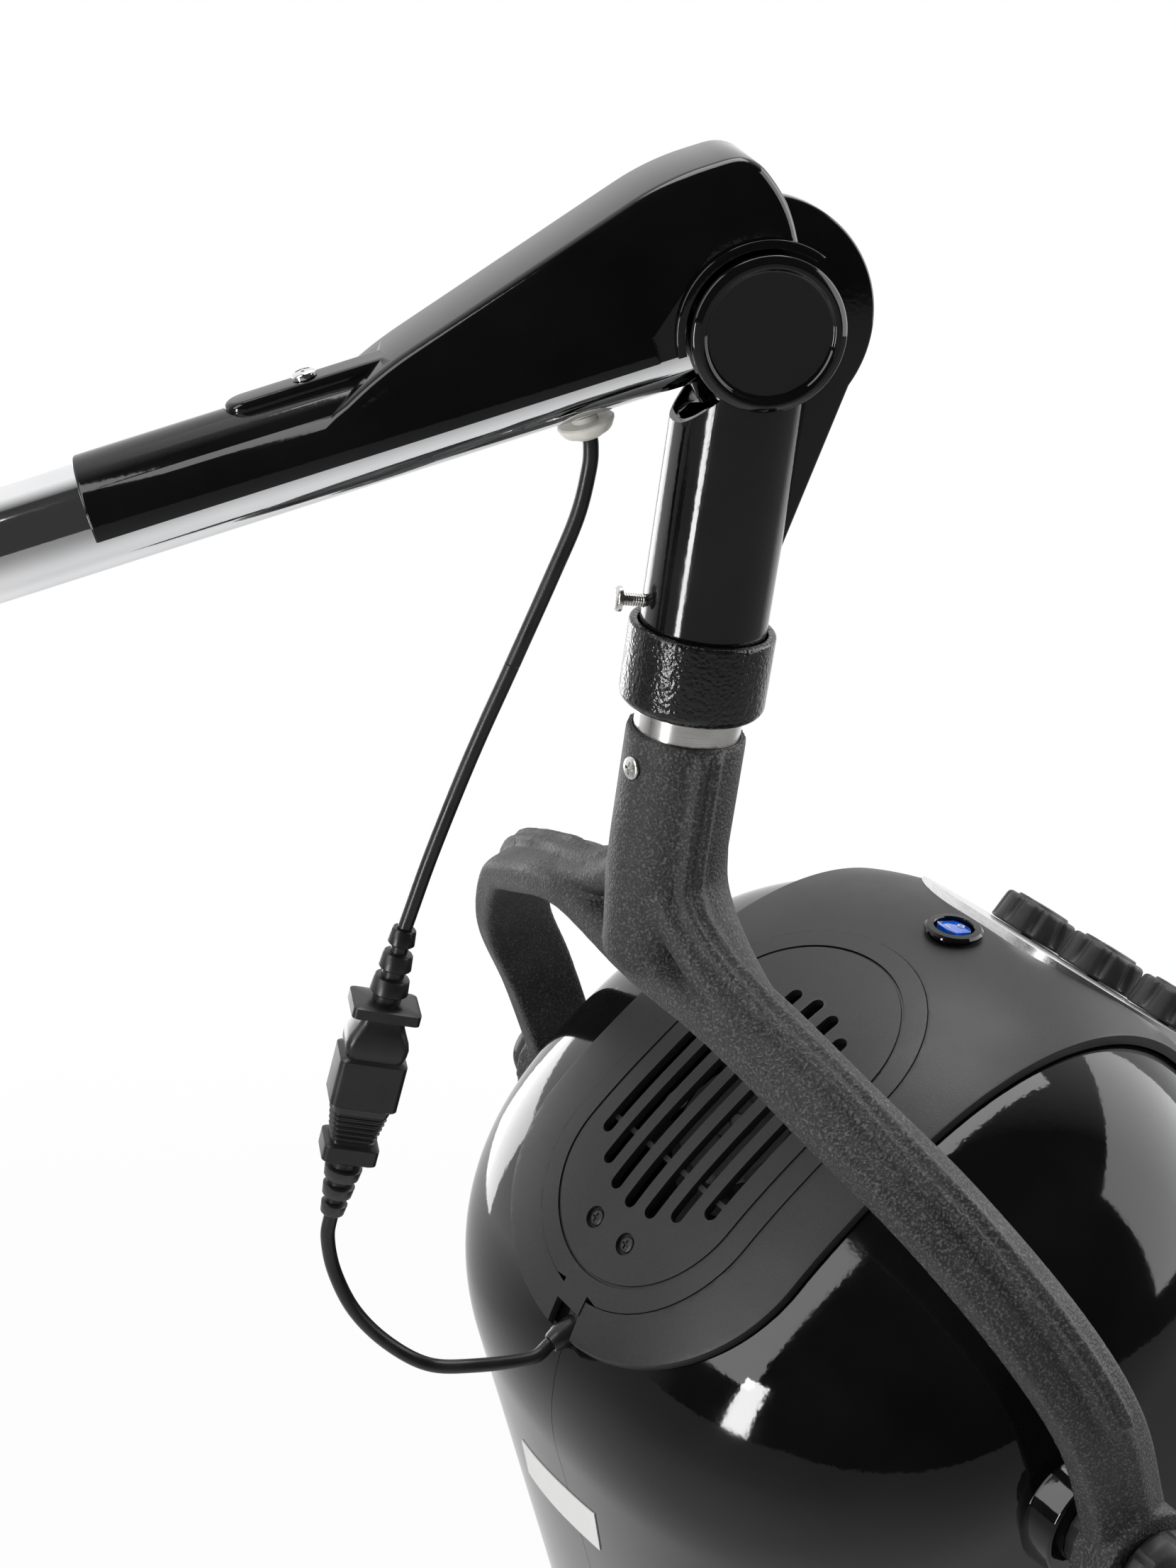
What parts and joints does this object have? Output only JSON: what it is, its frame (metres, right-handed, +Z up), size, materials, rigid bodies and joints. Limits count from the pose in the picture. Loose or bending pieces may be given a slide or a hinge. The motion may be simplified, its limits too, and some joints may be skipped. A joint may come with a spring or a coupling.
{
  "type": "wall-mounted hood dryer",
  "caption": "Salon hood hair dryer on a hinged wall arm: swinging chrome arm, sprung elbow, swivelling fork and a tilting black hood with vented lid, rotary knobs and rocker switch.",
  "frame": {"origin": "middle of the wall plate's back face", "axes": "+X out from the wall, +Z up, +Y to the side away from the pictured side"},
  "size_m": [0.977, 0.4564, 0.795],
  "materials": {
    "chrome": "polished",
    "bright_steel": "bright zinc",
    "gloss_black": "gloss",
    "black_enamel": "gloss",
    "hammered_black": "hammered",
    "grained_charcoal": "fine grain",
    "matte_black": "fine grain",
    "satin_silver": "satin",
    "white_nylon": "smooth",
    "blue_lens": "translucent",
    "cord_black": "smooth",
    "powder_black": "powder coat",
    "liner_grey": "smooth"
  },
  "bodies": {
    "wall_body": {"wall_plate": "powder_black", "wall_socket": "powder_black", "socket_bush_upper": "white_nylon", "socket_bush_lower": "white_nylon"},
    "arm_body": {"arm_root": "powder_black", "spindle_washer": "bright_steel", "spindle_nut": "bright_steel", "root_set_screw": "bright_steel", "arm_tube": "chrome", "fork_end": "bright_steel", "cord_grommet": "white_nylon", "balance_spring": "bright_steel", "spring_lug": "bright_steel", "elbow_cover": "gloss_black", "cover_screw": "bright_steel", "cord_upper_a": "cord_black"},
    "drop_body": {"down_tube": "black_enamel", "elbow_axle": "bright_steel", "barrel_cap_near": "gloss_black", "barrel_cap_far": "gloss_black", "collar": "hammered_black", "swivel_bush": "white_nylon", "swivel_set_screw": "bright_steel", "cord_upper_b": "cord_black"},
    "fork_body": {"fork": "grained_charcoal", "swivel_stub": "bright_steel", "neck_screw": "bright_steel", "friction_washer_right": "white_nylon", "friction_washer_left": "white_nylon", "pivot_bolt_right": "bright_steel", "pivot_bolt_left": "bright_steel", "connector_socket": "cord_black", "connector_plug": "cord_black", "cord_lower": "cord_black"},
    "hood_body": {"shell_left": "gloss_black", "shell_right": "gloss_black", "cord_gland": "cord_black", "top_panel": "matte_black", "vent_lid": "matte_black", "lid_screw_1": "bright_steel", "lid_screw_2": "bright_steel", "switch_body": "matte_black", "control_plate": "satin_silver", "timer": "liner_grey", "heat_control": "liner_grey", "speed_control": "liner_grey", "liner": "liner_grey", "rim_ring": "matte_black", "motor_mount": "powder_black", "motor": "bright_steel", "heater_frame": "satin_silver", "heater_coil": "bright_steel"},
    "tilt_knob_right_body": {"tilt_knob_right": "matte_black"},
    "tilt_knob_left_body": {"tilt_knob_left": "matte_black"},
    "fan_body": {"fan": "liner_grey"},
    "knob_1_body": {"knob_1": "matte_black"},
    "knob_2_body": {"knob_2": "matte_black"},
    "knob_3_body": {"knob_3": "matte_black"},
    "rocker_body": {"rocker": "blue_lens"}
  },
  "joints": [
    {"name": "arm_swing", "type": "hinge", "parent": "wall_body", "child": "arm_body", "pos_m": [0.062, 0, 0], "axis": [0, 0, 1], "range_deg": [-70, 70]},
    {"name": "elbow_lift", "type": "hinge", "parent": "arm_body", "child": "drop_body", "pos_m": [0.61619, 0, 0.30597], "axis": [0, -1, 0], "range_deg": [-8, 45], "deforming": ["balance_spring", "cord_upper_a"]},
    {"name": "hood_swivel", "type": "hinge", "parent": "drop_body", "child": "fork_body", "pos_m": [0.61619, 0, 0.141], "axis": [0, 0, 1], "range_deg": [-80, 40], "deforming": ["cord_upper_b"]},
    {"name": "hood_tilt", "type": "hinge", "parent": "fork_body", "child": "hood_body", "pos_m": [0.73074, 0.05004, -0.14903], "axis": [0.4004, -0.9164, 0], "range_deg": [-45, 4], "deforming": ["cord_lower"]},
    {"name": "tilt_knob_right_turn", "type": "hinge", "parent": "fork_body", "child": "tilt_knob_right_body", "pos_m": [0.82201, -0.15889, -0.14903], "axis": [0.4004, -0.9164, 0], "range_deg": [-90, 90]},
    {"name": "tilt_knob_left_turn", "type": "hinge", "parent": "fork_body", "child": "tilt_knob_left_body", "pos_m": [0.63946, 0.25897, -0.14903], "axis": [-0.4004, 0.9164, 0], "range_deg": [-90, 90]},
    {"name": "fan_spin", "type": "hinge", "parent": "hood_body", "child": "fan_body", "pos_m": [0.68853, 0.0316, -0.06916], "axis": [-0.6191, -0.2705, 0.7373], "continuous": true},
    {"name": "knob_1_turn", "type": "hinge", "parent": "hood_body", "child": "knob_1_body", "pos_m": [0.88698, 0.07138, -0.02128], "axis": [-0.4512, -0.1971, -0.8704], "range_deg": [0, 300]},
    {"name": "knob_2_turn", "type": "hinge", "parent": "hood_body", "child": "knob_2_body", "pos_m": [0.86816, 0.11445, -0.02128], "axis": [-0.4512, -0.1971, -0.8704], "range_deg": [0, 270]},
    {"name": "knob_3_turn", "type": "hinge", "parent": "hood_body", "child": "knob_3_body", "pos_m": [0.84935, 0.15752, -0.02128], "axis": [-0.4512, -0.1971, -0.8704], "range_deg": [0, 270]},
    {"name": "rocker_press", "type": "hinge", "parent": "hood_body", "child": "rocker_body", "pos_m": [0.77151, 0.06403, 0.02607], "axis": [-0.4017, 0.9158, 0.0034], "range_deg": [-18, 0]}
  ]
}
